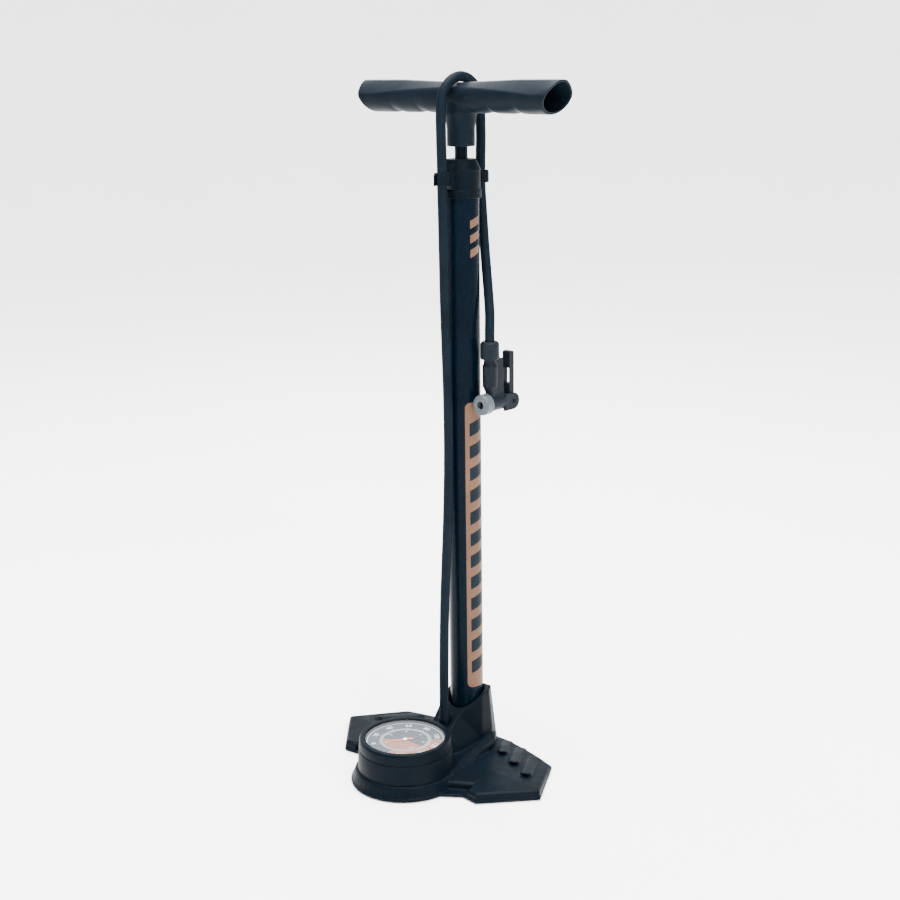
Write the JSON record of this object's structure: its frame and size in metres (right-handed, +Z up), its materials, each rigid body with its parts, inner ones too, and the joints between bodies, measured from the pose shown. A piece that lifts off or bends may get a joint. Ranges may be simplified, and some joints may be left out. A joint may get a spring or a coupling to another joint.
{
  "type": "bicycle floor pump",
  "caption": "Upright hand air pump: T handle on a piston rod, tall barrel, base with foot plates and a round pressure gauge, hose with a lever-lock head.",
  "frame": {"origin": "on the floor under the barrel's axis", "axes": "+Z up along the barrel, +X along the handle bar, -Y towards the gauge"},
  "size_m": [0.2764, 0.1963, 0.7143],
  "materials": {
    "black_plastic": "satin moulded",
    "black_paint": "satin paint on steel tube",
    "hose_rubber": "smooth",
    "soft_rubber": "matt",
    "grey_plastic": "satin",
    "steel": "bright",
    "brass": "turned",
    "white_plastic": "moulded",
    "dial_print": "printed",
    "clear_plastic": "clear moulded",
    "orange_paint": "painted"
  },
  "bodies": {
    "root": {"base_casting": "black_plastic", "foot_pad_rear_left": "soft_rubber", "foot_pad_rear_right": "soft_rubber", "foot_pad_side_left": "soft_rubber", "foot_pad_side_right": "soft_rubber", "foot_pad_front": "soft_rubber", "foot_pad_centre": "soft_rubber", "barrel": "black_paint", "foot_plug": "white_plastic", "foot_o_ring": "soft_rubber", "valve_spring": "steel", "barrel_cap": "black_plastic", "rod_bush": "white_plastic", "gauge_housing": "black_plastic", "gauge_bezel": "black_plastic", "gauge_lens": "clear_plastic", "lens_seal": "soft_rubber", "gauge_dial": "dial_print", "movement_plate": "brass", "gauge_inlet": "brass", "bourdon_tube": "brass", "hose_gland": "black_plastic", "hose_lower": "hose_rubber", "hose_loop": "hose_rubber", "hose_drop": "hose_rubber", "hose_nut": "black_plastic", "head_body": "black_plastic", "nozzle_gasket": "soft_rubber", "lever_pin": "steel"},
    "piston": {"piston_rod": "black_paint", "piston_nut": "steel", "piston_cup": "soft_rubber", "piston": "white_plastic", "rod_bumper": "soft_rubber"},
    "handle": {"handle": "black_plastic", "handle_insert": "brass"},
    "valve": {"valve_disc": "soft_rubber"},
    "needle": {"needle": "orange_paint", "needle_shaft": "brass"},
    "sector": {"sector_gear": "brass"},
    "lever": {"lever": "black_plastic"},
    "nozzle_plunger": {"nozzle_plunger": "white_plastic"},
    "nozzle_cap": {"nozzle_cap": "grey_plastic"}
  },
  "joints": [
    {"name": "piston_slide", "type": "slide", "parent": "root", "child": "piston", "axis": [0, 0, 1], "range_m": [0, 0.49], "deforming": ["hose_loop"]},
    {"name": "handle_turn", "type": "hinge", "parent": "piston", "child": "handle", "pos_m": [0, 0, 0.69], "axis": [0, 0, 1], "range_deg": [-25, 25]},
    {"name": "valve_slide", "type": "slide", "parent": "root", "child": "valve", "axis": [0, 0, -1], "range_m": [0, 0.0016], "stiffness_N_per_m": 60, "springref_m": -0.001, "deforming": ["valve_spring"]},
    {"name": "needle_turn", "type": "hinge", "parent": "root", "child": "needle", "pos_m": [0, -0.097, 0.0434], "axis": [0, 0, -1], "range_deg": [0, 290.5]},
    {"name": "sector_turn", "type": "hinge", "parent": "root", "child": "sector", "pos_m": [0, -0.119, 0.037], "axis": [0, 0, 1], "range_deg": [0, 29], "stiffness_Nm_per_rad": 0.01},
    {"name": "lever_turn", "type": "hinge", "parent": "root", "child": "lever", "pos_m": [0.031, 0.0335, 0.386], "axis": [-1, 0, 0], "range_deg": [0, 90]},
    {"name": "nozzle_squeeze", "type": "slide", "parent": "root", "child": "nozzle_plunger", "axis": [0, -1, 0], "range_m": [0, 0.003]},
    {"name": "nozzle_cap_turn", "type": "hinge", "parent": "root", "child": "nozzle_cap", "pos_m": [0.031, -0.0105, 0.3875], "axis": [0, -1, 0], "continuous": true}
  ],
  "couplings": [
    {"joint": "needle_turn", "follows": "sector_turn", "ratio": 10},
    {"joint": "nozzle_squeeze", "follows": "lever_turn", "m_per_rad": 0.0019099}
  ]
}
